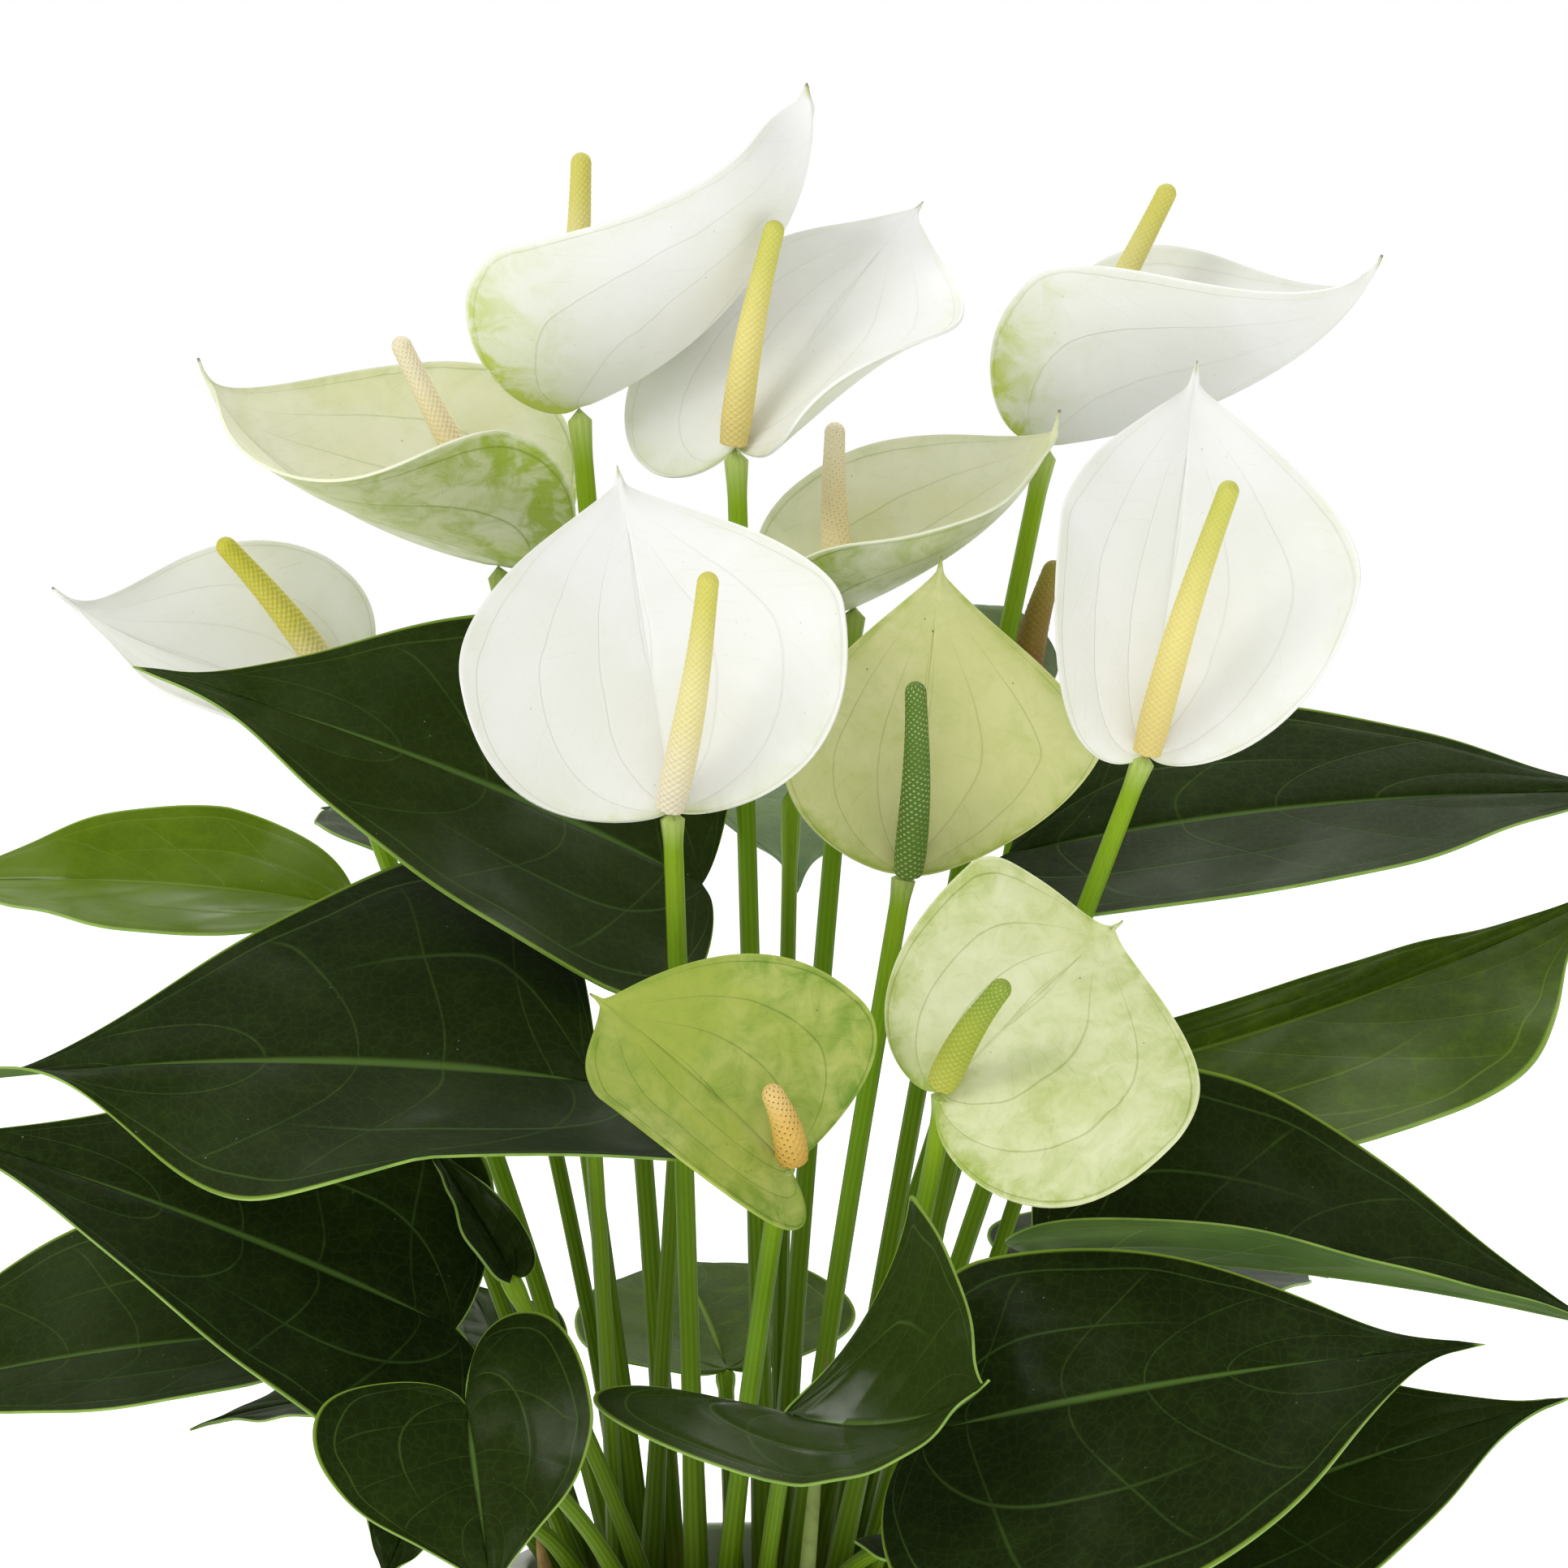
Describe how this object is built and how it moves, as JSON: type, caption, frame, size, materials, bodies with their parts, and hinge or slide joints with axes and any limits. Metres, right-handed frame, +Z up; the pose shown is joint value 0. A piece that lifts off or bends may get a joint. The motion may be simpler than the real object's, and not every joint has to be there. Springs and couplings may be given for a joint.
{
  "type": "potted anthurium",
  "caption": "White-flowered anthurium in a plain round ceramic pot: open spathes with upright spadices on slim stalks above dark heart-shaped leaves. Stands on its flat foot.",
  "frame": {"origin": "middle of the pot's flat foot, on the surface the pot stands on", "axes": "+Z up along the pot's axis, -Y towards the front that the plant faces, +X to the viewer's right"},
  "size_m": [0.5133, 0.3174, 0.517],
  "materials": {
    "pot_glaze": "satin",
    "soil": "matte",
    "stalk_green": "satin",
    "leaf_dark": "gloss",
    "leaf_pale": "satin",
    "spathe_white": "satin",
    "spathe_cream_green": "satin",
    "spathe_green": "satin",
    "spadix_yellow": "matte",
    "spadix_green": "matte",
    "spadix_brown": "matte"
  },
  "bodies": {
    "root": {"pot": "pot_glaze", "soil": "soil", "stalk_behind_centre": "stalk_green", "stalk_centre": "stalk_green", "stalk_far_left": "stalk_green", "stalk_green_centre": "stalk_green", "stalk_green_front": "stalk_green", "stalk_green_right": "stalk_green", "stalk_high_centre": "stalk_green", "stalk_high_left": "stalk_green", "stalk_high_right": "stalk_green", "stalk_left": "stalk_green", "stalk_right": "stalk_green", "stalk_spent": "stalk_green", "leaf_back_centre": "leaf_dark", "leaf_back_left": "leaf_dark", "leaf_back_low": "leaf_pale", "leaf_back_low_right": "leaf_dark", "leaf_back_right": "leaf_dark", "leaf_broad_left": "leaf_dark", "leaf_broad_right": "leaf_dark", "leaf_crinkled": "leaf_dark", "leaf_drooping_left": "leaf_dark", "leaf_front_cupped": "leaf_dark", "leaf_front_heart": "leaf_dark", "leaf_inner_left": "leaf_dark", "leaf_lower_left": "leaf_dark", "leaf_lower_right": "leaf_dark", "leaf_mid_right": "leaf_dark", "leaf_pale_left": "leaf_pale", "leaf_pale_right": "leaf_pale", "leaf_shaded_left": "leaf_dark", "leaf_small_front": "leaf_dark", "leaf_upper_left": "leaf_dark", "leaf_upper_right": "leaf_dark", "leaf_young": "leaf_dark", "spathe_behind_centre": "spathe_cream_green", "spathe_centre": "spathe_white", "spathe_far_left": "spathe_white", "spathe_green_centre": "spathe_cream_green", "spathe_green_front": "spathe_green", "spathe_green_right": "spathe_cream_green", "spathe_high_centre": "spathe_white", "spathe_high_left": "spathe_white", "spathe_high_right": "spathe_white", "spathe_left": "spathe_cream_green", "spathe_right": "spathe_white", "spathe_spent": "spathe_green", "spadix_behind_centre": "spadix_yellow", "spadix_centre": "spadix_yellow", "spadix_far_left": "spadix_yellow", "spadix_green_centre": "spadix_green", "spadix_green_front": "spadix_yellow", "spadix_green_right": "spadix_green", "spadix_high_centre": "spadix_yellow", "spadix_high_left": "spadix_yellow", "spadix_high_right": "spadix_yellow", "spadix_left": "spadix_yellow", "spadix_right": "spadix_yellow", "spadix_spent": "spadix_brown"}
  },
  "joints": []
}
